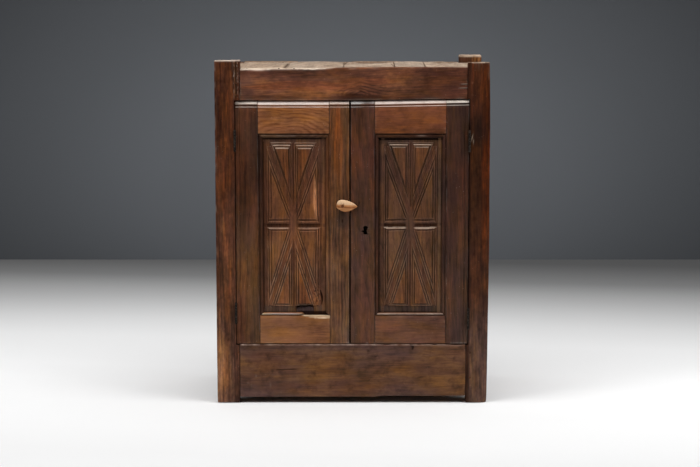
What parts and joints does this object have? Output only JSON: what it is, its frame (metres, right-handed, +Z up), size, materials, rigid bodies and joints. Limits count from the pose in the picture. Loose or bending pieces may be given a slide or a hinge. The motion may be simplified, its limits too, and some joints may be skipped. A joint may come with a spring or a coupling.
{
  "type": "trastero cabinet",
  "caption": "Free-standing rustic wooden storage cabinet with panelled double doors carved in rays, a turn button, a rim lock and a shelf, on short post feet.",
  "frame": {"origin": "centre of the base, on the floor under the middle of the overall box", "axes": "+Z up, doors face -Y, +X to the right of someone facing the doors"},
  "size_m": [0.939, 0.472, 1.194],
  "materials": {
    "post_wood": "dark reddish brown, worn, waxed",
    "rail_wood": "reddish brown, worn, waxed",
    "apron_wood": "brown, dusty",
    "left_door_wood": "orange brown with streaked grain",
    "right_door_wood": "dark reddish brown",
    "panel_wood": "carved, dark brown",
    "top_wood": "bleached bare boards",
    "inner_wood": "unfinished old softwood",
    "peg_wood": "bare peg ends",
    "button_wood": "raw whittled pine",
    "iron": "dark wrought iron"
  },
  "bodies": {
    "carcass": {"front_left_post": "post_wood", "front_right_post": "post_wood", "rear_left_post": "post_wood", "rear_right_post": "post_wood", "top_front_rail": "rail_wood", "apron": "apron_wood", "top_rear_rail": "inner_wood", "bottom_rear_rail": "inner_wood", "left_side_top_rail": "inner_wood", "right_side_top_rail": "inner_wood", "left_side_bottom_rail": "inner_wood", "right_side_bottom_rail": "inner_wood", "left_side_panel": "inner_wood", "right_side_panel": "inner_wood", "back_board_1": "inner_wood", "back_board_2": "inner_wood", "back_board_3": "inner_wood", "back_board_4": "inner_wood", "floor_board_1": "inner_wood", "floor_board_2": "inner_wood", "shelf_board_1": "inner_wood", "shelf_board_2": "inner_wood", "left_shelf_bearer": "inner_wood", "right_shelf_bearer": "inner_wood", "top_board_1": "top_wood", "top_board_2": "top_wood", "top_board_3": "top_wood", "top_board_4": "top_wood", "top_board_5": "top_wood", "frame_pegs": "peg_wood", "board_nails": "iron", "hinge_pins": "iron", "post_hinge_nails": "iron", "left_post_hinge_leaves": "iron", "right_post_hinge_leaves": "iron"},
    "left_door": {"left_hinge_stile": "left_door_wood", "left_meeting_stile": "left_door_wood", "left_top_rail": "left_door_wood", "left_bottom_rail": "left_door_wood", "left_panel": "panel_wood", "left_door_pegs": "peg_wood", "left_door_hinge_leaves": "iron", "left_door_hinge_nails": "iron", "lock_keeper": "iron", "left_door_bolt_staples": "iron", "turn_button_nail": "iron"},
    "right_door": {"right_hinge_stile": "right_door_wood", "right_lock_stile": "right_door_wood", "right_top_rail": "right_door_wood", "right_bottom_rail": "right_door_wood", "right_panel": "panel_wood", "right_door_pegs": "peg_wood", "right_door_hinge_leaves": "iron", "right_door_hinge_nails": "iron", "lock_case": "iron", "lock_spring": "iron"},
    "turn_button": {"turn_button": "button_wood"},
    "lock_bolt": {"lock_bolt": "iron"},
    "left_door_bolt": {"left_door_bolt": "iron"}
  },
  "joints": [
    {"name": "left_door_hinge", "type": "hinge", "parent": "carcass", "child": "left_door", "pos_m": [-0.40075, -0.2188, 0.62], "axis": [0, 0, -1], "range_deg": [0, 170]},
    {"name": "right_door_hinge", "type": "hinge", "parent": "carcass", "child": "right_door", "pos_m": [0.40375, -0.2188, 0.62], "axis": [0, 0, 1], "range_deg": [0, 170]},
    {"name": "turn_button_pivot", "type": "hinge", "parent": "left_door", "child": "turn_button", "pos_m": [-0.0323, -0.22, 0.6964], "axis": [0, 1, 0], "range_deg": [-90, 90]},
    {"name": "lock_bolt_slide", "type": "slide", "parent": "right_door", "child": "lock_bolt", "axis": [-1, 0, 0], "range_m": [0, 0.02]},
    {"name": "left_door_bolt_slide", "type": "slide", "parent": "left_door", "child": "left_door_bolt", "axis": [0, 0, -1], "range_m": [0, 0.024]}
  ]
}
